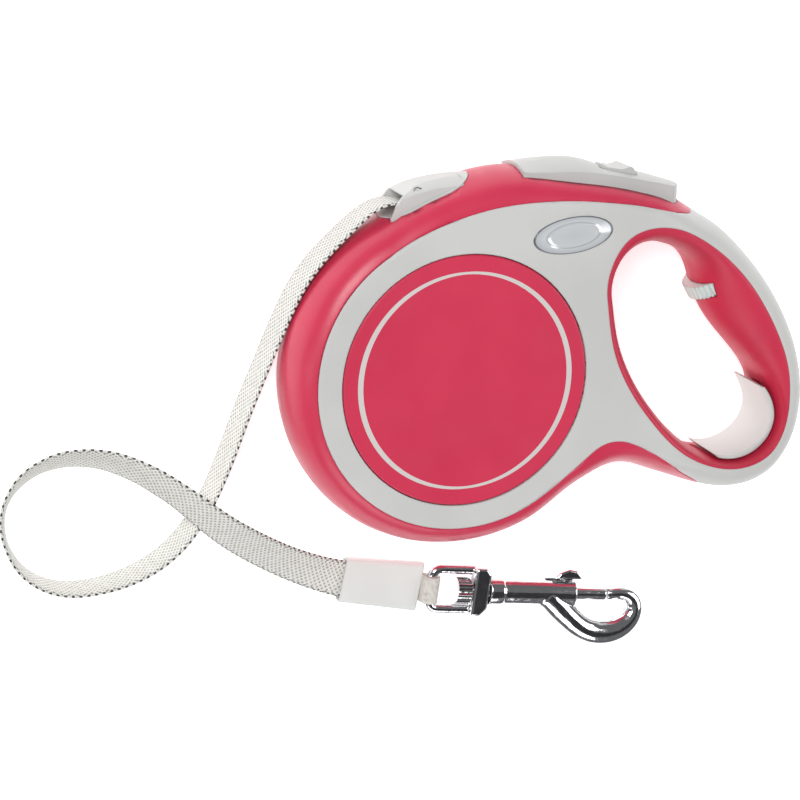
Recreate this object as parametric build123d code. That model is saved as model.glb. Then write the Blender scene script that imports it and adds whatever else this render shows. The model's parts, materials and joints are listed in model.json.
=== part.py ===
from build123d import *
import math
import os

os.makedirs("parts", exist_ok=True)

# Retractable tape leash, lying on its side. Millimetres, +Z up along the reel's axis, +X towards
# the grip, +Y towards the brake button. The origin is on the reel's axis, in the lower side face.

# ---- driving dimensions -------------------------------------------------------------------------
THICK = 36.0                 # casing, side face to side face
MID = THICK / 2              # height of the parting plane
RIM_R = 67.8                 # round housing, at the parting plane
RIM_IN = 11.0                # the flat side face stands this far inside the rim's widest line
SKIN = 2.4                   # wall of the shells
PANEL_T = 2.4                # side frame's panel
DECK_T = 2.0                 # casing's deck under the panel
PANEL_Z = THICK - PANEL_T
DECK_Z = PANEL_Z - DECK_T
CLEAR = 0.3                  # gap between pieces that move apart
SEAT = 0.1                   # gap between pieces that are assembled
RUN = 0.05                   # radial gap of a running fit
LABEL_R = 48.5               # cover disc on the hub
CHAMBER_R = 58.4             # reel chamber
CHAMBER_WALL = 2.0
TAPE_W = 15.0                # tape, across
TAPE_T = 1.2                 # tape, thick

# reel
HUB_R = 22.0
COIL_R = 53.2                # tape wound on the hub
FLANGE_R = 56.5
TOOTH_ROOT_R = 53.4
TEETH = 24
COIL_Z = MID - TAPE_W / 2
RATCHET_Z = COIL_Z - 2.9     # lower face of the ratchet flange
AXLE_R = 4.0

# brake
CAP_HALF = 11.5              # half width of the brake button
CAP_TRAVEL = 2.8
PAWL_PIVOT = (12.0, 64.5)
PAWL_PUSH_X = 26.0

# grip adjuster
GRIP_DIR = Vector(0.479, -0.878, 0).normalized()
GRIP_OUT = Vector(0.878, 0.479, 0).normalized()
WHEEL_R = 12.0
WHEEL_W = 5.6
WHEEL_AT = Vector(100.9, 23.2, MID) + GRIP_OUT * (WHEEL_R - 1.8)
REST_TRAVEL = 7.0

# snap
SNAP_AT = Vector(0, -93.5, 6.4)
SNAP_TURN = -8.4             # degrees, about Z


def polar(radius, degrees):
    """A point on a circle round the reel's axis."""
    a = math.radians(degrees)
    return (radius * math.cos(a), radius * math.sin(a))


def save(name, shape):
    export_step(shape, f"parts/{name}.step")


def flip(shape):
    """The same piece on the other side of the parting plane."""
    return shape.mirror(Plane.XY.offset(MID))


def post(radius, x, y, z0, z1):
    """A cylinder along Z."""
    return Pos(x, y, (z0 + z1) / 2) * Cylinder(radius, z1 - z0)


def tube(outer_radius, inner_radius, z0, z1, x=0, y=0):
    return post(outer_radius, x, y, z0, z1) - post(inner_radius, x, y, z0 - 1, z1 + 1)


def prism(face, z0, z1):
    """A flat face on the XY plane, raised from z0 to z1."""
    return Pos(0, 0, z0) * extrude(face, amount=z1 - z0)


# ---- outlines in plan (at the parting plane, counter-clockwise) -----------------------------------
ROUND_PART = [polar(RIM_R, a) for a in (118, 140, 162, 184, 206, 228, 250, 271)]
GRIP_PART = [
    (19.6, -65.2), (34.2, -59), (45.4, -51.1), (55.4, -45.6), (66.4, -42.4), (79.2, -45.8),
    (92.3, -51), (106.2, -56), (119.8, -57.4), (131.8, -53.6), (140.8, -44.4), (146.2, -30.4),
    (147, -16), (144.4, -2), (138.8, 12.4), (129.6, 27.6), (118.2, 41.3), (106.9, 51.3), (96.2, 58),
]
TOP_PART = [
    (86, 64.4), (74, 68.7), (60, 72.1), (45, 74.6), (31, 77), (19.5, 77.9), (9, 76.7), (-1, 74.2),
    (-11, 70.5), (-21.5, 65.9),
]
OUTLINE = Spline(ROUND_PART + GRIP_PART + TOP_PART, periodic=True)

# hand opening: where the lining meets the side face, and the matching point at the parting plane
OPENING = [
    ((57, 27), (62.1, 26.5)), ((59.2, 41.1), (64.9, 38.4)), ((66.7, 50.5), (70.5, 43.3)),
    ((77, 53.3), (78, 45.5)), ((86.9, 51.9), (85.9, 44)), ((97.2, 46.8), (93.4, 40.6)),
    ((107.3, 39.2), (98.5, 35)), ((116.5, 29.7), (100.9, 27)), ((124.3, 18.6), (104.3, 17.8)),
    ((130.9, 6.2), (111.3, 7.6)), ((135.4, -6.4), (119.9, -2)), ((136.7, -19), (129.8, -14.4)),
    ((135.2, -31.2), (134.2, -29.4)), ((129.1, -41.7), (128.2, -40.5)),
    ((117.1, -46.3), (116.8, -44.8)), ((103.6, -44.4), (104.5, -41.8)),
    ((90.6, -37.5), (93.4, -34)), ((78.2, -25), (82.2, -22)), ((67.7, -10.3), (72.6, -7.7)),
    ((59.9, 8.1), (65.3, 9.9)),
]
SEAM = [outer for outer, inner in OPENING]
SEAM_LAND = 0.7              # flat rim of the lining beside the side face

# side frame: upper edge from the ring round the label to the tip of the red strip, and lower edge
PANEL_RING_R = 58.1
PANEL_TOP = [
    (-30, 49.8), (-20, 55.7), (-10, 59.8), (0, 62.9), (12, 65.3), (30, 66.4), (46, 65.6),
    (60, 63.8), (72, 61.7), (82, 59.2), (89, 57.6), (94.4, 56.9), (97.6, 58.6), (98.4, 63),
]
PANEL_LOW = [
    (20, -54.6), (31, -49.1), (42, -41.3), (50, -35), (57, -30.6), (64.5, -30), (72, -32.8),
    (80, -37.5), (89.8, -44.6), (97, -49.6), (103, -53.9), (109, -60),
]
FAR_RIGHT = [(109, -80), (180, -80), (180, 90), (98.4, 90)]   # well outside the body
PANEL_LAP = 3.0              # the casing reaches this far under the panel's edge
FRAME_START_X = 30.0         # left of this the casing is whole under the panel
RIM_TOP_X, RIM_LOW_X = 80.0, 80.0   # right of these the panel's edge runs down the rim, without a lap


def inset_points(curve, distance, count):
    """Points along a curve, moved to its left, which is inwards on a counter-clockwise one."""
    points = []
    for i in range(count):
        here = curve.position_at(i / count)
        along = curve.tangent_at(i / count)
        points.append((here.X - along.Y * distance, here.Y + along.X * distance))
    return points


def smooth_face(points, z=0):
    """A flat face at height z, bounded by one smooth closed curve in eight stretches."""
    curve = Spline(points, periodic=True)
    return Pos(0, 0, z) * make_face([curve.trim(i / 8, (i + 1) / 8) for i in range(8)])


def quarter_angles():
    """Steps from the parting plane up to the side face."""
    return [math.radians(a) for a in (0, 12, 24, 36, 48, 60, 70, 80, 90)]


def rim_half(inset, top):
    """Upper half of the body: its wall follows a quarter of an ellipse from the parting plane."""
    sections = []
    for a in quarter_angles():
        points = inset_points(OUTLINE, inset + RIM_IN * (1 - math.cos(a)), 64)
        sections.append(smooth_face(points, MID + (top - MID) * math.sin(a)))
    return loft(sections, ruled=True)


def opening_half():
    """The hand opening above the parting plane: narrow there and widening to the side face."""
    sections = []
    for a in quarter_angles():
        points = []
        for seam, inner in OPENING:
            width = math.dist(seam, inner)
            across = SEAM_LAND / width + (1 - SEAM_LAND / width) * math.cos(a)
            points.append(tuple(s + (i - s) * across for s, i in zip(seam, inner)))
        sections.append(smooth_face(points, MID + MID * math.sin(a)))
    return loft(sections, ruled=True)


def panel_face():
    """Plan of the light side frame, running out past the body on the grip side."""
    ring = ThreePointArc(PANEL_TOP[0], (-PANEL_RING_R, 0), PANEL_LOW[0])
    low = Spline(*PANEL_LOW)
    right = Polyline(PANEL_LOW[-1], *FAR_RIGHT, PANEL_TOP[-1])
    top = Spline(*reversed(PANEL_TOP))
    return make_face([ring, low, right, top])


def frame_zone():
    """Plan of the part of the body where the side frame is the whole wall."""
    top = [(x, y - PANEL_LAP) for x, y in PANEL_TOP if FRAME_START_X <= x < RIM_TOP_X] + PANEL_TOP[-4:]
    low = [(x + 1, y + PANEL_LAP) for x, y in PANEL_LOW if x <= RIM_LOW_X] + PANEL_LOW[-4:]
    start = (FRAME_START_X, 0)
    edge = Polyline(start, (FRAME_START_X, low[1][1]))
    bottom = Spline((FRAME_START_X, low[1][1]), *low[2:])
    right = Polyline(low[-1], (109, -80), (180, -80), (180, 90), (98.4, 90), top[-1])
    upper = Spline(*reversed(top))
    back = Polyline(top[0], start)
    return make_face([edge, bottom, right, upper, back])


# ---- the whole body, and the prisms that share it out ---------------------------------------------
BODY = rim_half(0, THICK)
SHELL = BODY - rim_half(SKIN, DECK_Z)
SEAM_PRISM = prism(smooth_face(SEAM), -1, THICK + 1)
PANEL_PRISM = prism(panel_face(), PANEL_Z, THICK + 1)
CHAMBER_OUT = CHAMBER_R + CHAMBER_WALL
ZONE_PRISM = prism(frame_zone(), -1, THICK + 1) - post(CHAMBER_OUT + 0.6, 0, 0, -2, THICK + 2)


# ---- tape outlet ----------------------------------------------------------------------------------
NOZZLE_HALF = 10.7
NOZZLE_X = (-28.6, 6.0)
NOZZLE_LOW = [(6.5, 70.5), (-4, 67), (-14, 62), (-22, 58.8), (-29, 57.6)]
HOOD = [
    (-26.8, 61), (-24.6, 66.8), (-22.2, 69.9), (-17, 73), (-12.4, 74.4), (-7, 75.2), (2, 76), (2, 70),
    (-10, 62),
]
HOOD_TOP_R = 76.2            # from the reel's axis to the hood's crest
HOOD_ROUND = 15.0            # the hood is rounded across by this radius
ROLLER_AT = (-15.6, 70.6)
ROLLER_R = 1.9
ROLLER_PIN_R = 0.9
ROLLER_PIN_HALF = 8.4
SLOT_HALF = TAPE_W / 2 + 0.5
TAPE_MOUTH = (-17.5, 66.0)   # the free tape starts here
tangent_x, tangent_y = polar(COIL_R + TAPE_T, 66.0)
TAPE_RUN = Vector(TAPE_MOUTH[0] - tangent_x, TAPE_MOUTH[1] - tangent_y, 0)


def tape_run_box(width, thick, start, stop):
    """A box along the straight run of tape from the coil to the outlet, between two distances."""
    along = TAPE_RUN.normalized()
    middle = Vector(tangent_x, tangent_y, MID) + along * ((start + stop) / 2)
    plane = Plane(origin=middle, x_dir=along, z_dir=(0, 0, 1))
    return plane * Box(stop - start, thick, width)


def nozzle_blank(grow):
    """Stadium-shaped inlay in the rim, before its hood and slot."""
    z0, z1 = MID - NOZZLE_HALF - grow, MID + NOZZLE_HALF + grow
    low = [(x, y - grow) for x, y in NOZZLE_LOW]
    block = prism(make_face(Polyline(*low, (-29, 85), (6.5, 85), close=True)), z0, z1)
    radius = NOZZLE_HALF + grow
    x0, x1 = NOZZLE_X[0] + NOZZLE_HALF, NOZZLE_X[1] - NOZZLE_HALF
    turn = Rot(90, 0, 0)
    plan = Pos((x0 + x1) / 2, 70, MID) * Box(x1 - x0, 40, 2 * radius)
    for x in (x0, x1):
        plan += Pos(x, 70, MID) * turn * Cylinder(radius, 40)
    return block & plan


def make_nozzle():
    skin = rim_half(-0.25, THICK + 0.25)
    piece = nozzle_blank(0) & (skin + flip(skin))
    hood = prism(make_face(Polyline(*HOOD, close=True)), MID - 9.6, MID + 9.6)
    piece += hood & Pos(0, 0, MID) * Torus(HOOD_TOP_R - HOOD_ROUND, HOOD_ROUND)
    mouth = [(-15, 63.6), (-31, 61.8), (-31, 70), (-22.4, 70.2), (-15, 69.4)]
    piece -= prism(make_face(Polyline(*mouth, close=True)), MID - SLOT_HALF, MID + SLOT_HALF)
    piece -= tape_run_box(2 * SLOT_HALF, 3.4, 10, TAPE_RUN.length + 3)
    piece -= post(ROLLER_R + CLEAR, *ROLLER_AT, MID - SLOT_HALF, MID + SLOT_HALF)
    piece -= post(ROLLER_PIN_R, *ROLLER_AT, MID - ROLLER_PIN_HALF, MID + ROLLER_PIN_HALF)
    return piece


# ---- brake button ---------------------------------------------------------------------------------
CAP_ROWS = [
    # along X, crown, shoulder, bottom of the skirt
    (24.6, 79.0, 76.9, 73.9), (27.5, 79.4, 76.4, 73.4), (31.5, 79.8, 76.1, 72.7),
    (37, 80.0, 75.9, 72.0), (43, 79.9, 75.7, 71.2), (49, 79.3, 75.2, 70.3), (53, 78.4, 74.7, 69.5),
    (56.5, 77.2, 74.2, 68.8), (59.5, 76.0, 73.6, 68.2), (63, 75.1, 72.9, 67.4),
    (68, 74.0, 71.8, 66.3), (74, 72.6, 70.5, 64.7), (80, 71.0, 69.2, 62.8), (86, 69.1, 67.7, 60.4),
    (91.4, 67.3, 66.2, 58.0),
]
CAP_WALL = 1.7
CAP_TAIL_R = 15.6            # the tail is rounded in plan


def cap_loft(inset, drop):
    """Crowned block through the rows, smaller by an inset and lower by a drop at its top."""
    half = CAP_HALF - inset
    sections = []
    for x, crown, shoulder, bottom in CAP_ROWS:
        a, b = (x, shoulder - drop, MID - half), (x, shoulder - drop, MID + half)
        c, d = (x, bottom - inset, MID + half), (x, bottom - inset, MID - half)
        top = ThreePointArc(a, (x, crown - drop, MID), b)
        sections.append(make_face([top, Polyline(b, c, d, a)]))
    return loft(sections, ruled=True)


def cap_plan(grow, y0, y1):
    """Plan of the button: square in front, round at its tail."""
    height = y1 - y0
    half = CAP_HALF + grow
    x0, x1 = CAP_ROWS[0][0] - grow, CAP_ROWS[-1][0] + grow
    at_y = (y0 + y1) / 2
    plan = Pos((x0 + x1) / 2, at_y, MID) * Box(x1 - x0, height, 2 * half)
    tail = Pos(x1 - CAP_TAIL_R, at_y, MID) * Rot(90, 0, 0) * Cylinder(CAP_TAIL_R, height)
    front = Pos(x0 + (x1 - CAP_TAIL_R - x0) / 2, at_y, MID)
    return plan & (tail + front * Box(x1 - CAP_TAIL_R - x0, height, 4 * half))


def cap_pocket():
    """Room for the skirt in the casing, over the button's travel."""
    rows = [(x, bottom - CAP_TRAVEL - 2 * CLEAR) for x, crown, shoulder, bottom in CAP_ROWS[::2]]
    first, last = (rows[0][0] - 2, rows[0][1]), (rows[-1][0] + 4, rows[-1][1] - 1.5)
    side = Polyline(first, *rows, last, (last[0], 95), (first[0], 95), close=True)
    return prism(make_face(side), 0, THICK) & cap_plan(CLEAR, 40, 95)


CATCH_AT = Vector(64.5, 74.8, MID)
CATCH_ANGLE = -12.1          # the saddle of the button slopes down towards the grip
CATCH_TRAVEL = 4.0


def catch_box(x0, x1, y0, y1, half):
    """A box on the saddle, in the catch's own sloping frame."""
    place = Location(CATCH_AT, (0, 0, CATCH_ANGLE))
    return place * Pos((x0 + x1) / 2, (y0 + y1) / 2, 0) * Box(x1 - x0, y1 - y0, 2 * half)


def make_button():
    button = cap_loft(0, 0) & cap_plan(0, 40, 95)
    hollow = cap_loft(CAP_WALL, 3.4) & cap_plan(-CAP_WALL, 40, 95)
    button = button - hollow
    button -= catch_box(-3.3 - CATCH_TRAVEL, 8.9, -1.5, 6, 7.3)
    stem_z = (6.7, 9.9)
    stem = Pos(PAWL_PUSH_X + 0.8, 68.9, sum(stem_z) / 2) * Box(2.0, 14.0, stem_z[1] - stem_z[0])
    return button + stem


CATCH_RIDGE = [(1.4, -0.2), (3.4, 0.6), (5.2, 1.6), (6.3, 1.7), (7.1, 1.1), (8.2, -0.2)]


def make_catch():
    plate = catch_box(-3, 8.6, -1.3, 0.1, 7)
    ridge = prism(make_face(Polyline(*CATCH_RIDGE, close=True)), -7, 7)
    return plate + Location(CATCH_AT, (0, 0, CATCH_ANGLE)) * ridge


# ---- brake pawl -----------------------------------------------------------------------------------
PAWL_Z = (7.0, 9.9)
PAWL_SHAPE = [
    (9.4, 62.4), (22.0, 58.6), (23.6, 56.4), (25.2, 52.2), (27.0, 51.3), (28.6, 55), (28.6, 61.5),
    (23.4, 61.5), (13.2, 67.5),
]
PAWL_PIN_R = 1.6


def make_pawl():
    arm = prism(make_face(Polyline(*PAWL_SHAPE, close=True)), *PAWL_Z) + post(3.3, *PAWL_PIVOT, *PAWL_Z)
    return arm - post(PAWL_PIN_R + RUN, *PAWL_PIVOT, 0, 20)


def pawl_window():
    """Opening in the chamber's wall that the pawl swings through."""
    corners = [polar(CHAMBER_R - 2, 54), polar(CHAMBER_R + 4, 54), polar(CHAMBER_R + 4, 80),
               polar(CHAMBER_R - 2, 80)]
    return prism(make_face(Polyline(*corners, close=True)), PAWL_Z[0] - 0.6, PAWL_Z[1] + 0.6)


# ---- casing, side frames, lining ------------------------------------------------------------------
SCREW_AT = [polar(CHAMBER_OUT + 2.6, a) for a in (48, 165, 235, 325)]
SCREW_R = 1.4
SCREW_HEAD = (2.6, 6.0, 8.0)   # radius, lowest and highest point
BADGE_AT = Location((42.5, 53, 0), (0, 0, 5))
BADGE = (16.2, 7.0)
BADGE_T = 1.0


def casing_half():
    """Red half shell with the wall of the reel chamber, the axle's boss and the screw posts."""
    half = SHELL - PANEL_PRISM - ZONE_PRISM - SEAM_PRISM
    half += tube(CHAMBER_OUT, CHAMBER_R, MID, DECK_Z + 0.2) - SEAM_PRISM
    half += tube(AXLE_R + 3, AXLE_R, MID + 11, DECK_Z + 0.2)
    inside = rim_half(SKIN / 2, DECK_Z + 0.2)
    for x, y in SCREW_AT:
        half += post(3.2, x, y, MID, DECK_Z) & inside
    half -= cap_pocket()
    half -= nozzle_blank(SEAT)
    half -= prism(make_face(Polyline(*HOOD, close=True)), MID - 9.7, MID + 9.7)
    return half - tape_run_box(2 * SLOT_HALF, 3.4, 5, TAPE_RUN.length)


def make_casings():
    half = casing_half()
    upper, lower = half, flip(half)
    for x, y in SCREW_AT:
        upper -= post(SCREW_R + RUN, x, y, MID - 1, 27)
        lower -= post(SCREW_R + 0.2, x, y, 0, MID + 1)
        lower -= post(SCREW_HEAD[0] + 0.2, x, y, -1, SCREW_HEAD[2])
    lower -= pawl_window()
    lower += post(3.2, *PAWL_PIVOT, DECK_T + PANEL_T - 0.2, PAWL_Z[0] - 0.2)
    lower -= post(PAWL_PIN_R, *PAWL_PIVOT, DECK_T + PANEL_T, MID)
    save("casing_upper", upper)
    save("casing_lower", lower)


def make_frames():
    frame = (SHELL & PANEL_PRISM) + (SHELL & ZONE_PRISM) - SEAM_PRISM
    frame -= post(LABEL_R + 0.4, 0, 0, 0, THICK + 2)
    frame -= cap_pocket()
    frame -= rod_on_grip(WHEEL_R + 2 * CLEAR, -WHEEL_W / 2 - CLEAR, WHEEL_W / 2 + CLEAR)
    frame -= BADGE_AT * prism(Ellipse(BADGE[0] + SEAT, BADGE[1] + SEAT), THICK - BADGE_T, THICK + 1)
    save("frame_upper", frame)
    save("frame_lower", flip(frame))
    badge = BADGE_AT * prism(Ellipse(*BADGE), THICK - BADGE_T, THICK - 0.1)
    badge = fillet(badge.edges().group_by(Axis.Z)[-1], 0.5)
    save("badge_upper", badge)
    save("badge_lower", flip(badge))
    label = post(LABEL_R, 0, 0, PANEL_Z, THICK)
    label = fillet(label.edges().group_by(Axis.Z)[-1], 0.5)
    save("label_upper", label)
    save("label_lower", flip(label))


# ---- adjustable finger rest -----------------------------------------------------------------------
REST_FINGER_SIDE = [
    (126.8, -15.2), (129.8, -20.6), (131.4, -26.4), (130.5, -32.2), (126.4, -37.7), (120.4, -41.2),
    (113.8, -42.4), (107.2, -41.2),
]
REST_BACK_SIDE = [
    (109, -42.8), (115, -43.9), (121.6, -42.9), (128, -39.1), (132, -33.4), (133.1, -26.6),
    (131.4, -20.4), (128.4, -15.6),
]
REST_HALF = 12.6             # half of the rest's width
NUT_AT = WHEEL_AT + GRIP_DIR * 60.0
NUT_SIZE = (8.0, 7.0, 7.0)
SCREW_ROD_R = 1.8
WHEEL_RIBS = 38


def on_grip(point, length, width, height):
    """A box in line with the grip, round a point."""
    return Plane(origin=point, x_dir=GRIP_DIR, z_dir=(0, 0, 1)) * Box(length, width, height)


def rod_on_grip(radius, start, stop):
    """A round rod on the adjuster's axis, between two distances from the wheel."""
    plane = Plane(origin=WHEEL_AT + GRIP_DIR * ((start + stop) / 2), x_dir=GRIP_OUT, z_dir=GRIP_DIR)
    return plane * Cylinder(radius, stop - start)


def make_wheel():
    points = []
    for i in range(WHEEL_RIBS):
        for share, radius in ((-0.3, WHEEL_R - 0.7), (-0.12, WHEEL_R), (0.12, WHEEL_R), (0.3, WHEEL_R - 0.7)):
            a = 2 * math.pi * (i + share) / WHEEL_RIBS
            points.append((radius * math.cos(a), radius * math.sin(a)))
    plane = Plane(origin=WHEEL_AT - GRIP_DIR * (WHEEL_W / 2), x_dir=GRIP_OUT, z_dir=GRIP_DIR)
    disc = plane * extrude(make_face(Polyline(*points, close=True)), amount=WHEEL_W)
    return disc - rod_on_grip(SCREW_ROD_R, -10, 10)


def rest_arm_box(length):
    """The arm from the rest back to its nut, or the slot that the arm travels in."""
    middle = NUT_AT - GRIP_OUT * 4.5 + GRIP_DIR * (4.0 - length / 2)
    extra = 0 if length == 8 else 2 * CLEAR
    return on_grip(middle + GRIP_DIR * (extra / 2), length + extra, 9.6, 6 + extra)


def make_rest():
    edges = [Spline(*REST_FINGER_SIDE), Line(REST_FINGER_SIDE[-1], REST_BACK_SIDE[0]),
             Spline(*REST_BACK_SIDE), Line(REST_BACK_SIDE[-1], REST_FINGER_SIDE[0])]
    plate = prism(make_face(edges), MID - REST_HALF, MID + REST_HALF)
    plate = chamfer(plate.edges().group_by(Axis.Z)[-1] + plate.edges().group_by(Axis.Z)[0], 0.3)
    clear_side = rest_arm_box(8) & prism(make_face(Polyline(
        (132, -45), (150, -45), (150, 0), (132, 0), close=True)), 0, THICK)
    return plate + (clear_side - on_grip(NUT_AT, NUT_SIZE[0] + 1, NUT_SIZE[1], NUT_SIZE[2]))


def make_grips():
    half = (prism(smooth_face(SEAM), MID, THICK) - opening_half()) & BODY
    half -= rod_on_grip(WHEEL_R + 2 * CLEAR, -WHEEL_W / 2 - CLEAR, WHEEL_W / 2 + CLEAR)
    half -= rod_on_grip(SCREW_ROD_R + RUN, -12, 75)
    half -= rest_arm_box(8 + REST_TRAVEL)
    half -= on_grip(NUT_AT - GRIP_DIR * (REST_TRAVEL / 2), NUT_SIZE[0] + REST_TRAVEL + 1, 8, 8)
    save("grip_upper", half)
    save("grip_lower", flip(half))


# ---- reel -----------------------------------------------------------------------------------------
HUB_WALL = 1.6
HUB_Z = (RATCHET_Z + 2.4, COIL_Z + TAPE_W + 0.5)
BUSH_R = 6.1
FIRST_TOOTH = 56.9           # degrees; a gap between teeth then faces the pawl


def ratchet_face():
    points = []
    pitch = 360 / TEETH
    for i in range(TEETH):
        middle = FIRST_TOOTH + i * pitch
        for turn, radius in ((-3.6, TOOTH_ROOT_R), (-2.2, FLANGE_R), (2.2, FLANGE_R), (3.2, TOOTH_ROOT_R)):
            points.append(polar(radius, middle + turn))
    return make_face(Polyline(*points, close=True))


def make_reel():
    drum = prism(ratchet_face(), RATCHET_Z, HUB_Z[0]) + tube(HUB_R, HUB_R - HUB_WALL, HUB_Z[0] - 0.1, HUB_Z[1])
    drum -= post(BUSH_R, 0, 0, 0, HUB_Z[0] + 1)
    save("reel_drum", drum)
    flange = tube(FLANGE_R, HUB_R - HUB_WALL, HUB_Z[1], HUB_Z[1] + 1.2)
    for i in range(6):
        flange -= post(7, *polar(38, 60 * i + 30), HUB_Z[1] - 1, HUB_Z[1] + 3)
    save("reel_flange", flange)
    cover_z = (HUB_Z[1] - 1.8, HUB_Z[1] - 0.2)
    save("spring_cover", tube(HUB_R - HUB_WALL - 0.02, BUSH_R, *cover_z))
    bushes = [tube(BUSH_R, AXLE_R + RUN, RATCHET_Z, HUB_Z[0] + 0.6), tube(BUSH_R, AXLE_R + RUN, *cover_z)]
    save("reel_bushes", Compound(children=bushes))
    save("axle", post(AXLE_R, 0, 0, DECK_T + PANEL_T, DECK_Z))
    save("tape_coil", tube(COIL_R, HUB_R + 0.05, COIL_Z, COIL_Z + TAPE_W))
    save("mainspring", make_mainspring())
    save("tape_inner", tape_run_box(TAPE_W, TAPE_T, 0, TAPE_RUN.length))


def make_mainspring():
    """Spiral strip between the axle and the hub's wall."""
    turns, start, pitch, strip = 7, 7.4, 1.7, 0.5
    sides = []
    for shift in (0, strip):
        points = [polar(start + shift + pitch * i / 12, 30 * i) for i in range(12 * turns + 1)]
        sides.append(Spline(*points))
    ends = [Line(sides[0] @ 0, sides[1] @ 0), Line(sides[0] @ 1, sides[1] @ 1)]
    return prism(make_face(sides + ends), HUB_Z[0] + 0.8, HUB_Z[1] - 2.4)


# ---- snap, in its own frame: +X from the tape towards the tip of the hook, axis at Z = 0 -----------
SNAP = Location(SNAP_AT, (0, 0, SNAP_TURN))
EYE_WIRE_R = 2.0
EYE_BAR_X = -3.5
STUD_R = 3.1
SHANK_R = 5.8
BOLT_R = 2.8
BOLT_TIP_X = 72.7
BOLT_TRAVEL = 8.0
HOOK_ROWS = [
    # centre line of the hook, and its radius
    (45.5, -0.6, 5.9), (51.2, -4.6, 6.2), (56.6, -9.2, 6.0), (62.2, -13.2, 5.8), (68.0, -15.8, 5.7),
    (74.3, -16.3, 5.7), (80.1, -14.9, 5.4), (84.5, -11.6, 4.9), (86.7, -7.1, 4.2), (86.2, -3.1, 3.6),
    (83.4, -0.4, 3.2), (79.2, 0.5, 2.9), (73.3, 0.2, 2.8),
]


def along_x(radius, x0, x1, y=0, z=0):
    return Pos((x0 + x1) / 2, y, z) * Rot(0, 90, 0) * Cylinder(radius, x1 - x0)


def make_eye():
    corners = [(17, 8.6, 0), (EYE_BAR_X, 8.6, 0), (EYE_BAR_X, -8.0, 0), (17, -8.0, 0)]
    path = FilletPolyline(*corners, radius=3.4)
    wire = sweep(Plane(origin=path @ 0, z_dir=path % 0) * Circle(EYE_WIRE_R), path=path)
    plan = make_face(Polyline((13.4, 10.5), (18.3, 10.5), (20.4, 8), (20.4, -6.4), (17.4, -9.7),
                              (13.4, -9.7), close=True))
    base = Pos(0, 0, -4.8) * extrude(plan, amount=9.6)
    base = fillet(base.edges(), 1.2)
    return wire + base - along_x(STUD_R + RUN, 10, 24)


def make_stud():
    points = []
    for i in range(24):
        for share, radius in ((-0.25, 5.1), (0, 5.5), (0.25, 5.5)):
            a = 2 * math.pi * (i + share) / 24
            points.append((radius * math.cos(a), radius * math.sin(a)))
    head = extrude(make_face(Polyline(*points, close=True)), amount=5.8)
    return Pos(6.8, 0, 0) * Rot(0, 90, 0) * head + along_x(STUD_R, 12.5, 21.6)


def hook_bow():
    """The curved part, round in section, along its centre line."""
    line = Spline(*[(x, y, 0) for x, y, radius in HOOK_ROWS])
    sections = []
    for i, (x, y, radius) in enumerate(HOOK_ROWS):
        share = line.param_at_point((x, y, 0))
        plane = Plane(origin=(x, y, 0), x_dir=(0, 0, 1), z_dir=line.tangent_at(share))
        sections.append(plane * Circle(radius))
    return loft(sections)


def make_hook():
    hook = along_x(SHANK_R, 26.0, 58.2) + along_x(6.2, 20.6, 26.4) + hook_bow()
    hook -= along_x(BOLT_R + RUN, 36, 64)
    hook -= along_x(STUD_R, 19, 21.6)
    return hook - Pos(53, 5, 0) * Box(15.4, 10, 3.0)


def make_bolt():
    rod = along_x(BOLT_R, 44, BOLT_TIP_X)
    rod = chamfer(rod.edges().sort_by(Axis.X)[-1], 0.4)
    stem = Pos(55.4, 4.6, 0) * Box(3.6, 6.4, 2.4)
    knob_side = [(48.3, 6.7), (50.4, 9.2), (54.4, 10.8), (58, 10.2), (60.2, 8), (60.3, 6.7)]
    knob = Pos(0, 0, -3.6) * extrude(make_face(Polyline(*knob_side, close=True)), amount=7.2)
    knob = chamfer(knob.edges().group_by(Axis.Z)[-1] + knob.edges().group_by(Axis.Z)[0], 0.6)
    return rod + stem + knob


def make_coil(radius, wire, turns, length):
    """A coil spring along +Z from the origin."""
    path = Helix(pitch=length / turns, height=length, radius=radius)
    return sweep(Plane(origin=path @ 0, z_dir=path % 0) * Circle(wire), path=path, is_frenet=True)


def make_snap():
    save("swivel_eye", SNAP * make_eye())
    save("swivel_stud", SNAP * make_stud())
    save("hook_body", SNAP * make_hook())
    save("snap_bolt", SNAP * make_bolt())
    spring = Pos(36.6, 0, 0) * Rot(0, 90, 0) * make_coil(2.0, 0.35, 6, 6.8)
    save("bolt_spring", SNAP * spring)


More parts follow.
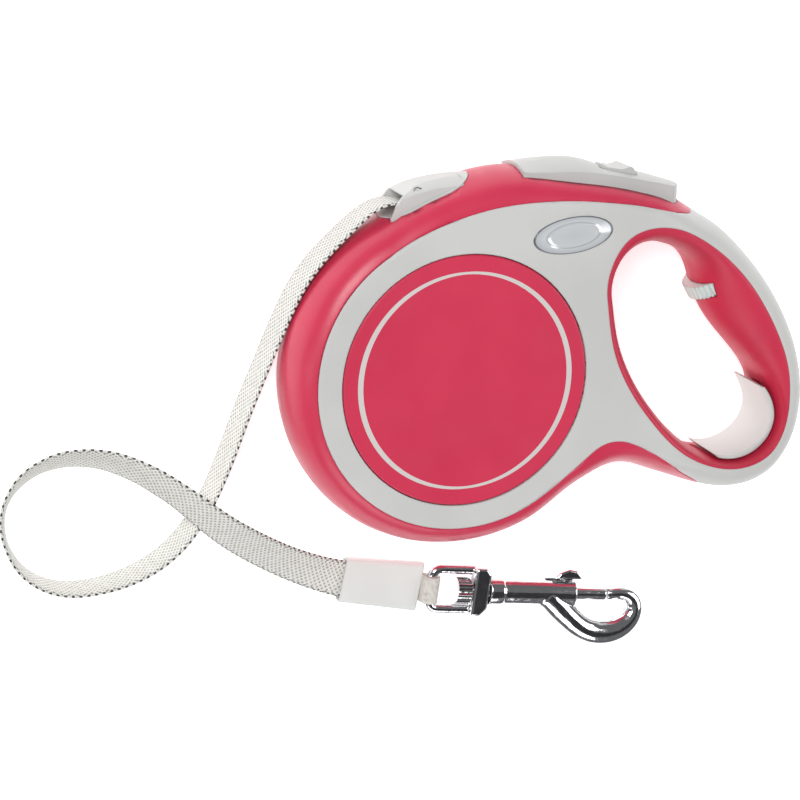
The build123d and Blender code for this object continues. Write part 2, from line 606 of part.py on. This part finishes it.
# ---- tape outside the casing ----------------------------------------------------------------------
ROUTE = [
    # x, y, height of the middle, and lean of the tape's width above the table in degrees
    (-17.5, 66.0, 18, 90), (-24.6, 68.0, 18, 90), (-33, 65.0, 17.8, 88), (-41.6, 57.6, 17.2, 86),
    (-50.8, 48.8, 16, 85), (-59.3, 37.8, 14.6, 84), (-66.2, 22.8, 12.8, 83), (-73.2, 5.2, 10.9, 83),
    (-80.2, -12, 9.2, 82), (-87.0, -30.6, 8.1, 82), (-94.8, -47.4, 7.9, 83), (-105.3, -61.5, 7.9, 83),
    (-118.8, -70.7, 7.9, 84), (-134.6, -75.1, 7.9, 86), (-151.2, -75.2, 7.9, 86),
    (-164.4, -67.9, 7.9, 85), (-171.5, -55.1, 7.9, 82), (-172, -40.7, 7.9, 72),
    (-163.7, -28.8, 7.9, 58), (-150.4, -23.1, 8.6, 51), (-135.4, -23.2, 11.4, 49),
    (-120.8, -28.8, 16.4, 48), (-106.6, -38.8, 21.4, 46), (-93.4, -51.2, 21.6, 38),
    (-79.6, -62.8, 14.2, 30), (-65, -73.0, 7.8, 24), (-51.4, -80.5, 4.4, 15), (-40, -85.2, 3.0, 4),
    (-30.4, -88.0, 2.8, 0), (-22.9, -90.0, 2.7, 0),
]


def route_radii(points):
    """The largest arc that the two runs beside each corner allow."""
    radii = []
    for before, here, after in zip(points, points[1:], points[2:]):
        run_in, run_out = Vector(*here) - Vector(*before), Vector(*after) - Vector(*here)
        half_turn = math.radians(run_in.get_angle(run_out)) / 2
        radii.append(0.45 * min(run_in.length, run_out.length) / math.tan(half_turn))
    return radii


def make_lead():
    """Ribbon along straight runs joined by tangent arcs, leaning as it goes."""
    points = [row[:3] for row in ROUTE]
    radii = route_radii(points)
    print("tape corner radii, mm:", [round(r) for r in radii])
    path = FilletPolyline(*points, radius=radii)
    length = path.length
    spacing = [0]
    for a, b in zip(points, points[1:]):
        spacing.append(spacing[-1] + math.dist(a, b))
    steps = 4 * (len(ROUTE) - 1)
    sections = []
    for i in range(steps + 1):
        share = i / steps
        at = share * spacing[-1]
        k = max(j for j in range(len(ROUTE) - 1) if spacing[j] <= at + 1e-6)
        blend = (at - spacing[k]) / (spacing[k + 1] - spacing[k])
        lean = math.radians(ROUTE[k][3] + (ROUTE[k + 1][3] - ROUTE[k][3]) * blend)
        along = path % share
        side = Vector(-along.Y, along.X, 0).normalized()
        across = side * math.cos(lean) + Vector(0, 0, 1) * math.sin(lean)
        plane = Plane(origin=path @ share, x_dir=across, z_dir=along)
        sections.append(plane * Rectangle(TAPE_W, TAPE_T))
    ribbon = loft(sections, ruled=True)
    print("tape length, mm:", round(length, 1), "volume over section times length:",
          round(ribbon.volume / (length * TAPE_W * TAPE_T), 3))
    return ribbon


END_WIDTH = 10.7             # the sewn end is gathered to pass through the eye
END_X = (-22.2, -7.4)        # from the joint with the tape to the mouth of the sleeve
LOOP_R = EYE_WIRE_R + 0.2


def make_tape_end():
    """Two sewn layers inside the sleeve and the loop round the eye's bar, in the snap's frame."""
    low, high = 1.5 - SNAP_AT.Z, 4.1 - SNAP_AT.Z
    middle = (low + high) / 2
    bar = Pos(EYE_BAR_X, 0)
    outer = make_hull((bar * Circle(LOOP_R + TAPE_T) + Pos(END_X[1], middle) * Rectangle(0.2, high - low)).edges())
    outer += Pos(sum(END_X) / 2, middle) * Rectangle(END_X[1] - END_X[0], high - low)
    inner = make_hull((bar * Circle(LOOP_R) + Pos(END_X[1] + 0.6, middle) * Rectangle(0.2, 0.1)).edges())
    strip = extrude(outer - inner, amount=END_WIDTH)
    return SNAP * Pos(0, END_WIDTH / 2, 0) * Rot(90, 0, 0) * strip


SLEEVE_AT = Location((-23.8, -89.0, 2.6), (0, 0, -12))
SLEEVE_ENDS = ((-15.8, 18.4), (16.75, 20.2))   # along the sleeve, and its width there
SLEEVE_T = 5.2
SLEEVE_HOLLOW = (16.8, 3.6)


def make_sleeve():
    plan = [(x, side * width / 2) for x, width in SLEEVE_ENDS for side in (-1, 1)]
    plan[2], plan[3] = plan[3], plan[2]
    shell = prism(make_face(Polyline(*plan, close=True)), -SLEEVE_T / 2, SLEEVE_T / 2)
    long_edges = [e for e in shell.edges() if e.length > 30]
    shell = fillet(long_edges, 2.0)
    return SLEEVE_AT * (shell - Box(40, *SLEEVE_HOLLOW))


# ---- write the pieces -----------------------------------------------------------------------------
make_casings()
make_frames()
make_grips()
make_reel()
save("nozzle", make_nozzle())
roller_z = (MID - SLOT_HALF + CLEAR, MID + SLOT_HALF - CLEAR)
save("guide_roller", tube(ROLLER_R, ROLLER_PIN_R + RUN, *roller_z, *ROLLER_AT))
save("roller_pin", post(ROLLER_PIN_R, *ROLLER_AT, MID - ROLLER_PIN_HALF, MID + ROLLER_PIN_HALF))
save("brake_button", make_button())
save("lock_slider", make_catch())
save("brake_pawl", make_pawl())
save("pawl_pin", post(PAWL_PIN_R, *PAWL_PIVOT, DECK_T + PANEL_T, PAWL_Z[1] + 5))
save("pawl_spring", Pos(*PAWL_PIVOT, PAWL_Z[1] + 0.8) * make_coil(2.6, 0.4, 3, 3.2))
screws = [post(SCREW_R, x, y, SCREW_HEAD[2] - 0.1, 26) + post(SCREW_HEAD[0], x, y, *SCREW_HEAD[1:])
          for x, y in SCREW_AT]
save("casing_screws", Compound(children=screws))
save("adjuster_wheel", make_wheel())
save("adjuster_screw", rod_on_grip(SCREW_ROD_R, -10, 66))
save("finger_rest", make_rest())
nut = on_grip(NUT_AT, *NUT_SIZE) - rod_on_grip(SCREW_ROD_R + RUN, 40, 80)
save("rest_nut", nut)
make_snap()
save("tape_lead", make_lead())
save("tape_end", make_tape_end())
save("sleeve", make_sleeve())
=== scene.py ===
import json
import math
import bpy
import bmesh
from mathutils import Vector, Matrix


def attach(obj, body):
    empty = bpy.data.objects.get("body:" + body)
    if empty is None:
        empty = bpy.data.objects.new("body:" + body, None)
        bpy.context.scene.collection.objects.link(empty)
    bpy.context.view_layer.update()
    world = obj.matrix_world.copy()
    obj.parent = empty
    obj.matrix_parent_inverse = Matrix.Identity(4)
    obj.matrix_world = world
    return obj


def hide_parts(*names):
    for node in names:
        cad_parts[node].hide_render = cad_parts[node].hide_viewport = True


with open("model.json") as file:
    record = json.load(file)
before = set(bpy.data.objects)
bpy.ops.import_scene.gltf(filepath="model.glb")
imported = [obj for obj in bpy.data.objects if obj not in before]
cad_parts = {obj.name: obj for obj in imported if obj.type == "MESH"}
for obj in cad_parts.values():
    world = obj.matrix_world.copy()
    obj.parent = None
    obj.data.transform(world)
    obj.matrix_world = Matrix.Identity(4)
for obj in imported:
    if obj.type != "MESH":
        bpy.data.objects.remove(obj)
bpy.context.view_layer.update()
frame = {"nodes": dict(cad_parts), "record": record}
nodes = frame["nodes"]

MM = 0.001
Z = Vector((0, 0, 1))


# ---- camera, floor, light -------------------------------------------------------------------------
CAMERA_AT = Vector((-306.17, 243.18, 847.15)) * MM
CAMERA_AIM = Vector((-26.337, -4.694, 36.0)) * MM
LENS, SENSOR = 108, 36


def set_camera():
    data = bpy.data.cameras.new("camera")
    camera = bpy.data.objects.new("camera", data)
    bpy.context.scene.collection.objects.link(camera)
    camera.location = CAMERA_AT
    back = (CAMERA_AT - CAMERA_AIM).normalized()
    right = Vector((0, 1, 0)).cross(back).normalized()
    turn = Matrix((right, back.cross(right), back)).transposed()
    camera.rotation_euler = turn.to_euler()
    data.sensor_width = SENSOR
    data.lens = LENS
    data.clip_start = 0.01
    bpy.context.scene.camera = camera


def facing(place, aim):
    """The turn of a lamp or board at a place, so that its front looks at the aim."""
    return (Vector(aim) - Vector(place)).to_track_quat("-Z", "Y").to_euler()


def area_light(name, place, aim, size, power):
    data = bpy.data.lights.new(name, "AREA")
    data.shape = "RECTANGLE"
    data.size, data.size_y = size
    data.energy = power
    light = bpy.data.objects.new(name, data)
    light.location = place
    light.rotation_euler = facing(place, aim)
    bpy.context.scene.collection.objects.link(light)


KEY_POWER, FILL_POWER, FRONT_POWER, STRIP_POWER = 13.5, 7.2, 6.0, 1.0
WORLD_POWER = 0.15
FLOOR_GLOW = 0.64            # the floor is lit from below a little, like a light table
FLOOR_SIZE = 6.0
FLOOR_DROP = 0.0004          # just below the object, so that the two never share a plane


def board(name, width, depth, material):
    """A flat rectangle of the set, which is no part of the object."""
    w, d = width / 2, depth / 2
    mesh = bpy.data.meshes.new(name)
    mesh.from_pydata([(-w, -d, 0), (w, -d, 0), (w, d, 0), (-w, d, 0)], [], [(0, 1, 2, 3)])
    mesh.materials.append(material)
    piece = bpy.data.objects.new(name, mesh)
    bpy.context.scene.collection.objects.link(piece)
    return piece


def set_stage():
    mat, shader = new_material("floor_white", (0.93, 0.93, 0.93), 0.9)
    shader.inputs["Emission Color"].default_value = (1, 1, 1, 1)
    shader.inputs["Emission Strength"].default_value = FLOOR_GLOW
    floor = board("floor", FLOOR_SIZE, FLOOR_SIZE, mat)
    floor.location.z = -FLOOR_DROP
    world = bpy.data.worlds.new("studio")
    world.use_nodes = True
    world.node_tree.nodes["Background"].inputs["Color"].default_value = (0.95, 0.96, 1.0, 1)
    world.node_tree.nodes["Background"].inputs["Strength"].default_value = WORLD_POWER
    bpy.context.scene.world = world
    bpy.context.scene.view_settings.view_transform = "Standard"
    area_light("key", (-0.62, 0.62, 1.15), (0.0, 0, 0), (0.5, 0.7), KEY_POWER)
    area_light("fill", (1.2, 0.1, 0.9), (0, 0, 0), (0.9, 0.8), FILL_POWER)
    area_light("front", (-0.2, -1.1, 0.8), (0, 0, 0), (1.2, 0.5), FRONT_POWER)
    area_light("strip", (-0.95, -0.08, 0.62), (-0.06, 0, 0), (0.16, 0.75), STRIP_POWER)
    dark_card("card_over", (0.36, -0.38, 0.9), (0.05, -0.08, 0), (0.7, 0.5))


def dark_card(name, place, aim, size):
    """A black board beside the set, which the chrome picks up as its dark reflections."""
    card = board(name, *size, new_material(name, (0.012, 0.012, 0.014), 0.9)[0])
    card.location = place
    card.rotation_euler = facing(place, aim)


# ---- materials ------------------------------------------------------------------------------------
def new_material(name, color, rough, metal=0.0, **sockets):
    mat = bpy.data.materials.new(name)
    mat.use_nodes = True
    shader = mat.node_tree.nodes["Principled BSDF"]
    shader.inputs["Base Color"].default_value = (*color, 1)
    shader.inputs["Roughness"].default_value = rough
    shader.inputs["Metallic"].default_value = metal
    for key, value in sockets.items():
        shader.inputs[key.replace("_", " ")].default_value = value
    return mat, shader


def add(mat, kind, **settings):
    """A new node; settings name its properties or its input sockets."""
    node = mat.node_tree.nodes.new("ShaderNode" + kind)
    for key, value in settings.items():
        if hasattr(node, key) and key not in node.inputs:
            setattr(node, key, value)
        else:
            node.inputs[key.replace("_", " ")].default_value = value
    return node


def join(mat, out, into):
    mat.node_tree.links.new(out, into)


def object_noise(mat, scale, detail=2.0, rough=0.5):
    place = add(mat, "TexCoord")
    noise = add(mat, "TexNoise", Scale=scale, Detail=detail, Roughness=rough)
    join(mat, place.outputs["Object"], noise.inputs["Vector"])
    return noise.outputs["Fac"]


def ramp(mat, value, *stops):
    node = add(mat, "ValToRGB")
    join(mat, value, node.inputs["Fac"])
    cells = node.color_ramp.elements
    while len(cells) < len(stops):
        cells.new(0.5)
    for cell, (at, color) in zip(cells, stops):
        cell.position = at
        cell.color = color if len(color) == 4 else (*color, 1)
    return node.outputs["Color"]


def grey(v):
    return (v, v, v)


def bump(mat, shader, height, distance, strength=1.0):
    node = add(mat, "Bump", Strength=strength, Distance=distance)
    join(mat, height, node.inputs["Height"])
    join(mat, node.outputs["Normal"], shader.inputs["Normal"])


def moulded(name, color, rough, grain=1600, depth=0.00004, spread=0.04, **sockets):
    """Moulded plastic: a fine spark-eroded grain, and slow changes of tone and gloss."""
    mat, shader = new_material(name, color, rough, **sockets)
    slow = object_noise(mat, 22, 3)
    dark = tuple(c * (1 - spread) for c in color)
    light = tuple(min(1, c * (1 + spread)) for c in color)
    join(mat, ramp(mat, slow, (0.35, dark), (0.65, light)), shader.inputs["Base Color"])
    gloss = object_noise(mat, 60, 4)
    join(mat, ramp(mat, gloss, (0.3, grey(rough - 0.05)), (0.7, grey(rough + 0.05))),
         shader.inputs["Roughness"])
    bump(mat, shader, object_noise(mat, grain, 2), depth)
    soften(mat, shader, 0.9 * MM)
    return mat


def soften(mat, shader, radius):
    """Round the light over edges narrower than this radius."""
    edge = add(mat, "Bevel", samples=4, Radius=radius)
    relief = shader.inputs["Normal"].links[0].from_node
    join(mat, edge.outputs["Normal"], relief.inputs["Normal"])


def cast_chrome(name, rough=0.07):
    """Chrome plate over cast or turned metal, with the casting's slight waviness and dull specks."""
    mat, shader = new_material(name, (0.80, 0.80, 0.81), rough, metal=1.0)
    specks = object_noise(mat, 420, 5, 0.6)
    join(mat, ramp(mat, specks, (0.45, grey(rough)), (0.75, grey(rough + 0.16))),
         shader.inputs["Roughness"])
    bump(mat, shader, object_noise(mat, 140, 3), 0.00025, 0.6)
    return mat


def metal(name, color, rough, scale=900):
    mat, shader = new_material(name, color, rough, metal=1.0)
    marks = object_noise(mat, scale, 4)
    join(mat, ramp(mat, marks, (0.3, grey(rough - 0.06)), (0.7, grey(rough + 0.1))),
         shader.inputs["Roughness"])
    bump(mat, shader, marks, 0.00002)
    return mat


MATERIALS = {
    "red_shell": moulded("red_plastic", (0.62, 0.036, 0.086), 0.33),
    "red_lining": moulded("red_soft_plastic", (0.60, 0.026, 0.070), 0.48, grain=2200, depth=0.00006),
    "grey_shell": moulded("grey_plastic", (0.60, 0.60, 0.585), 0.42),
    "white_plastic": moulded("white_plastic", (0.78, 0.80, 0.775), 0.36),
    "black_plastic": moulded("black_plastic", (0.03, 0.03, 0.032), 0.45),
    "badge_silver": moulded("badge_silver", (0.70, 0.73, 0.75), 0.16, grain=500, depth=0.00003,
                            Metallic=0.35),
    "chrome": cast_chrome("chrome_plate"),
    "steel": metal("steel", (0.58, 0.58, 0.60), 0.3),
    "spring_steel": metal("spring_steel", (0.24, 0.25, 0.28), 0.35),
    "brass": metal("brass", (0.78, 0.58, 0.25), 0.28),
}


# ---- printed ring on the cover disc, and the relief of the badge -----------------------------------
RING_R = 41.7 * MM
RING_HALF = 1.05 * MM
RING_LEAST = 0.45            # the ring's width at its top and bottom, as a share of its sides'
BADGE_MIDDLE = (42.5 * MM, 53 * MM)
BADGE_TURN = math.radians(5)
BADGE_HALVES = (16.2 * MM, 7.0 * MM)


def maths(mat, kind, *values):
    """A maths node fed by numbers or by other nodes."""
    node = add(mat, "Math", operation=kind)
    for i, value in enumerate(values):
        if isinstance(value, (int, float)):
            node.inputs[i].default_value = value
        else:
            join(mat, value, node.inputs[i])
    return node.outputs[0]


def plan_coordinates(mat):
    """Object coordinates x and y."""
    place = add(mat, "TexCoord")
    parts = add(mat, "SeparateXYZ")
    join(mat, place.outputs["Object"], parts.inputs[0])
    return parts.outputs[0], parts.outputs[1]


def length_of(mat, x, y):
    squares = maths(mat, "ADD", maths(mat, "MULTIPLY", x, x), maths(mat, "MULTIPLY", y, y))
    return maths(mat, "SQRT", squares)


def blend_colors(mat, share, first, second):
    """Two colours, or a node's colour and a plain one, mixed by a share."""
    mix = add(mat, "Mix", data_type="RGBA")
    join(mat, share, mix.inputs["Factor"])
    for socket, color in ((mix.inputs[6], first), (mix.inputs[7], second)):
        if isinstance(color, tuple):
            socket.default_value = (*color, 1)
        else:
            join(mat, color, socket)
    return mix.outputs[2]


def label_material():
    """Red cover disc with a plain pale ring, wider at its left and right."""
    mat = moulded("red_label", (0.64, 0.036, 0.088), 0.42, grain=2400, depth=0.00003)
    shader = mat.node_tree.nodes["Principled BSDF"]
    x, y = plan_coordinates(mat)
    radius = length_of(mat, x, y)
    sideways = maths(mat, "ABSOLUTE", maths(mat, "DIVIDE", x, radius))
    widening = maths(mat, "ADD", RING_LEAST, maths(mat, "MULTIPLY", 1 - RING_LEAST, sideways))
    half = maths(mat, "MULTIPLY", RING_HALF, widening)
    off = maths(mat, "ABSOLUTE", maths(mat, "SUBTRACT", radius, RING_R))
    ring = maths(mat, "LESS_THAN", off, half)
    red = shader.inputs["Base Color"].links[0].from_socket
    join(mat, blend_colors(mat, ring, red, (0.66, 0.62, 0.60)), shader.inputs["Base Color"])
    return mat


def badge_material():
    """Domed glossy badge: thin dark outline and a raised oval line inside it."""
    mat, shader = new_material("badge_gloss", (0.70, 0.73, 0.75), 0.14, metal=0.25)
    x, y = plan_coordinates(mat)
    dx, dy = maths(mat, "SUBTRACT", x, BADGE_MIDDLE[0]), maths(mat, "SUBTRACT", y, BADGE_MIDDLE[1])
    c, n = math.cos(BADGE_TURN), math.sin(BADGE_TURN)
    half_u, half_v = BADGE_HALVES
    u = maths(mat, "ADD", maths(mat, "MULTIPLY", dx, c / half_u), maths(mat, "MULTIPLY", dy, n / half_u))
    v = maths(mat, "SUBTRACT", maths(mat, "MULTIPLY", dy, c / half_v),
              maths(mat, "MULTIPLY", dx, n / half_v))
    out = length_of(mat, u, v)
    tone = ramp(mat, out, (0.0, (0.70, 0.73, 0.75)), (0.60, (0.76, 0.79, 0.81)), (0.66, (0.56, 0.60, 0.63)),
                (0.72, (0.78, 0.80, 0.82)), (0.93, (0.62, 0.66, 0.69)), (0.965, (0.16, 0.17, 0.18)))
    join(mat, tone, shader.inputs["Base Color"])
    gloss = object_noise(mat, 90, 3)
    join(mat, ramp(mat, gloss, (0.3, grey(0.10)), (0.7, grey(0.20))), shader.inputs["Roughness"])
    dome = ramp(mat, out, (0.0, grey(0.85)), (0.56, grey(0.7)), (0.64, grey(1.0)), (0.72, grey(0.6)),
                (0.95, grey(0.0)))
    bump(mat, shader, dome, 0.0012, 0.7)
    return mat


# ---- woven tape -----------------------------------------------------------------------------------
TAPE_W, TAPE_T = 15 * MM, 1.2 * MM
# x, y, z in millimetres and the lean of the width above the floor in degrees; the route of part.py
ROUTE = [
    (-17.5, 66.0, 18, 90), (-24.6, 68.0, 18, 90), (-33, 65.0, 17.8, 88), (-41.6, 57.6, 17.2, 86),
    (-50.8, 48.8, 16, 85), (-59.3, 37.8, 14.6, 84), (-66.2, 22.8, 12.8, 83), (-73.2, 5.2, 10.9, 83),
    (-80.2, -12, 9.2, 82), (-87.0, -30.6, 8.1, 82), (-94.8, -47.4, 7.9, 83), (-105.3, -61.5, 7.9, 83),
    (-118.8, -70.7, 7.9, 84), (-134.6, -75.1, 7.9, 86), (-151.2, -75.2, 7.9, 86),
    (-164.4, -67.9, 7.9, 85), (-171.5, -55.1, 7.9, 82), (-172, -40.7, 7.9, 72),
    (-163.7, -28.8, 7.9, 58), (-150.4, -23.1, 8.6, 51), (-135.4, -23.2, 11.4, 49),
    (-120.8, -28.8, 16.4, 48), (-106.6, -38.8, 21.4, 46), (-93.4, -51.2, 21.6, 38),
    (-79.6, -62.8, 14.2, 30), (-65, -73.0, 7.8, 24), (-51.4, -80.5, 4.4, 15), (-40, -85.2, 3.0, 4),
    (-30.4, -88.0, 2.8, 0), (-22.9, -90.0, 2.7, 0),
]


WEAVE_ALONG, WEAVE_ACROSS = 2.1, 2.3   # the weave's lattice, mm
DASH_PITCH = 2.9             # dark threads along each edge: an outer row of long dashes, an inner short one
OUTER_FROM, INNER_FROM, INNER_TO = 7.05, 6.35, 6.75


def woven_material(name, edges=True):
    """Open honeycomb weave, u along the tape and v across it in millimetres, dark threads at the edges."""
    mat, shader = new_material(name, (0.66, 0.65, 0.60), 0.8)
    uv = add(mat, "TexCoord").outputs["UV"]
    parts = add(mat, "SeparateXYZ")
    join(mat, uv, parts.inputs[0])
    u, v = parts.outputs[0], parts.outputs[1]
    wobble = object_noise(mat, 600, 2)
    along = maths(mat, "MULTIPLY", u, 2 * math.pi / WEAVE_ALONG)
    across = maths(mat, "MULTIPLY", v, 2 * math.pi / WEAVE_ACROSS)
    weave = maths(mat, "MAXIMUM", maths(mat, "SINE", maths(mat, "ADD", along, across)),
                  maths(mat, "SINE", maths(mat, "SUBTRACT", along, across)))
    weave = maths(mat, "ADD", maths(mat, "MULTIPLY", weave, 0.35), maths(mat, "MULTIPLY", wobble, 0.6))
    body = ramp(mat, maths(mat, "ADD", weave, 0.1), (0.15, (0.38, 0.37, 0.33)), (0.42, (0.66, 0.65, 0.60)),
                (0.72, (0.82, 0.81, 0.78)))
    bump(mat, shader, weave, 0.0004, 0.8)
    if not edges:
        join(mat, body, shader.inputs["Base Color"])
        return mat
    side = maths(mat, "ABSOLUTE", v)
    step = maths(mat, "SINE", maths(mat, "MULTIPLY", u, 2 * math.pi / DASH_PITCH))
    outer = maths(mat, "MULTIPLY", maths(mat, "GREATER_THAN", side, OUTER_FROM),
                  maths(mat, "GREATER_THAN", step, 0.35))
    band = maths(mat, "MULTIPLY", maths(mat, "GREATER_THAN", side, INNER_FROM),
                 maths(mat, "LESS_THAN", side, INNER_TO))
    inner = maths(mat, "MULTIPLY", band, maths(mat, "LESS_THAN", step, -0.5))
    dark = maths(mat, "ADD", outer, inner)
    join(mat, blend_colors(mat, dark, body, (0.05, 0.055, 0.05)), shader.inputs["Base Color"])
    return mat


def nurbs_points(points, name):
    """Points along the smooth spline that has these points as its controls."""
    curve = bpy.data.curves.new(name, "CURVE")
    curve.dimensions = "3D"
    curve.resolution_u = 12
    spline = curve.splines.new("NURBS")
    spline.points.add(len(points) - 1)
    for cell, p in zip(spline.points, points):
        cell.co = (*p, 1)
    spline.order_u = 3
    spline.use_endpoint_u = True
    line = bpy.data.objects.new(name, curve)
    bpy.context.scene.collection.objects.link(line)
    bpy.context.view_layer.update()
    mesh = bpy.data.meshes.new_from_object(line)
    found = [v.co.copy() for v in mesh.vertices]
    bpy.data.objects.remove(line)
    bpy.data.meshes.remove(mesh)
    return found


def link_mesh(name, verts, faces, material, uvs=None, smooth=True):
    mesh = bpy.data.meshes.new(name)
    mesh.from_pydata(verts, [], faces)
    mesh.update()
    if uvs:
        layer = mesh.uv_layers.new(name="UVMap")
        for loop in mesh.loops:
            layer.data[loop.index].uv = uvs[loop.vertex_index]
    if smooth:
        mesh.shade_smooth()
    piece = bpy.data.objects.new(name, mesh)
    piece.data.materials.append(material)
    bpy.context.scene.collection.objects.link(piece)
    return piece


def ribbon_section(width, thick, across=14):
    """Closed outline of a tape: flat faces and round selvedges; each point with its place across in mm."""
    half_w, half_t = width / 2, thick / 2
    top = []
    for i in range(across + 1):
        s = -1 + 2 * i / across
        edge = abs(s) ** 12
        top.append((s * half_w, half_t * (1 - 0.55 * edge)))
    return top + [(x, -y) for x, y in reversed(top)]


def make_ribbon(name, line, leans, width, thick, material):
    section = ribbon_section(width, thick)
    count = len(section)
    verts, uvs, faces = [], [], []
    run = 0.0
    for i, p in enumerate(line):
        ahead = line[min(i + 1, len(line) - 1)] - line[max(i - 1, 0)]
        along = ahead.normalized()
        if i:
            run += (p - line[i - 1]).length
        side = Vector((-along.y, along.x, 0)).normalized()
        lean = math.radians(leans[i])
        across = side * math.cos(lean) + Z * math.sin(lean)
        across = (across - along * across.dot(along)).normalized()
        normal = along.cross(across)
        for x, y in section:
            verts.append(p + across * x + normal * y)
            uvs.append((run / MM, x / MM))
    for i in range(len(line) - 1):
        for k in range(count):
            a, b = i * count + k, i * count + (k + 1) % count
            faces.append((a, b, b + count, a + count))
    faces.append(tuple(reversed(range(count))))
    faces.append(tuple(range(len(verts) - count, len(verts))))
    return link_mesh(name, verts, faces, material, uvs)


def spread_leans(samples):
    """The lean at each sample, from the leans at the control points of a quadratic spline."""
    last = len(ROUTE) - 1
    spots = [0] + [k - 0.5 for k in range(1, last)] + [last - 1]
    leans = []
    for i in range(samples):
        t = i / (samples - 1) * (last - 1)
        k = max(j for j in range(last) if spots[j] <= t + 1e-9)
        share = (t - spots[k]) / (spots[k + 1] - spots[k])
        leans.append(ROUTE[k][3] + (ROUTE[k + 1][3] - ROUTE[k][3]) * share)
    return leans


def make_tape(castings):
    weave = woven_material("woven_tape")
    line = nurbs_points([Vector(row[:3]) * MM for row in ROUTE], "tape_line")
    tape = make_ribbon("woven_tape", line, spread_leans(len(line)), TAPE_W, TAPE_T, weave)
    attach(tape, "casing")
    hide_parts("tape_lead")


# ---- the CAD's own pieces -------------------------------------------------------------------------
BUTTON_GREY = moulded("button_plastic", (0.56, 0.56, 0.545), 0.40)
REST_WHITE = moulded("rest_plastic", (0.66, 0.75, 0.72), 0.36)
BY_NODE = {"finger_rest": REST_WHITE, "adjuster_wheel": REST_WHITE,
           "label_upper": label_material(), "badge_upper": badge_material(),
           "brake_button": BUTTON_GREY, "lock_slider": BUTTON_GREY}
BY_NODE["label_lower"] = BY_NODE["label_upper"]
BY_NODE["badge_lower"] = BY_NODE["badge_upper"]
CAST = {"hook_body": ("hook", 0.30), "snap_bolt": ("bolt", 0.16), "swivel_eye": ("eye", 0.30)}


RELAX_STEPS, RELAX_SHARE = 8, 0.5
SLOTS = {row["node"]: row["material_slot"] for row in frame["record"]["subparts"]}


def copy_of(name, prefix):
    piece = bpy.data.objects.new(prefix + name, nodes[name].data.copy())
    piece.matrix_world = nodes[name].matrix_world
    bpy.context.scene.collection.objects.link(piece)
    return piece


def bake_modifiers(piece, material):
    """The piece's mesh as its modifiers leave it, with one material."""
    bpy.context.view_layer.update()
    shape = bpy.data.meshes.new_from_object(piece.evaluated_get(bpy.context.evaluated_depsgraph_get()))
    piece.modifiers.clear()
    piece.data = shape
    shape.materials.clear()
    shape.materials.append(material)


def cast_pieces():
    """Smooth castings in place of the faceted ones: the same solid, remeshed fine and relaxed.
    CAST gives each node's body and the size of the voxels in millimetres."""
    pieces = []
    for name, (body, voxel) in CAST.items():
        piece = copy_of(name, "cast_")
        remesh = piece.modifiers.new("voxels", "REMESH")
        remesh.mode = "VOXEL"
        remesh.voxel_size = voxel * MM
        relax = piece.modifiers.new("relax", "SMOOTH")
        relax.iterations = RELAX_STEPS
        relax.factor = RELAX_SHARE
        bake_modifiers(piece, MATERIALS["chrome"])
        piece.data.shade_smooth()
        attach(piece, body)
        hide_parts(name)
        pieces.append(piece)
    return pieces


SHELLS = ("casing_upper", "casing_lower", "frame_upper", "frame_lower", "grip_upper", "grip_lower")
CREASE = math.radians(28)    # the shells' real edges are sharper than this
SAME_POINT = 0.002 * MM


def smooth_shells():
    """The moulded shells with their narrow facets shaded as one rounded skin."""
    for name in SHELLS:
        piece = copy_of(name, "smooth_")
        skin = bmesh.new()
        skin.from_mesh(piece.data)
        bmesh.ops.remove_doubles(skin, verts=skin.verts, dist=SAME_POINT)
        skin.to_mesh(piece.data)
        skin.free()
        piece.data.shade_smooth()
        piece.data.set_sharp_from_angle(angle=CREASE)
        weighted = piece.modifiers.new("weighted", "WEIGHTED_NORMAL")
        weighted.keep_sharp = True
        bake_modifiers(piece, MATERIALS[SLOTS[name]])
        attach(piece, "casing")
        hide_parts(name)


def dress_nodes():
    plain_weave = woven_material("woven_plain", edges=False)
    for name, node in nodes.items():
        material = BY_NODE.get(name) or MATERIALS.get(SLOTS[name], plain_weave)
        node.data.materials.clear()
        node.data.materials.append(material)


set_camera()
set_stage()
make_tape(cast_pieces())
smooth_shells()
dress_nodes()
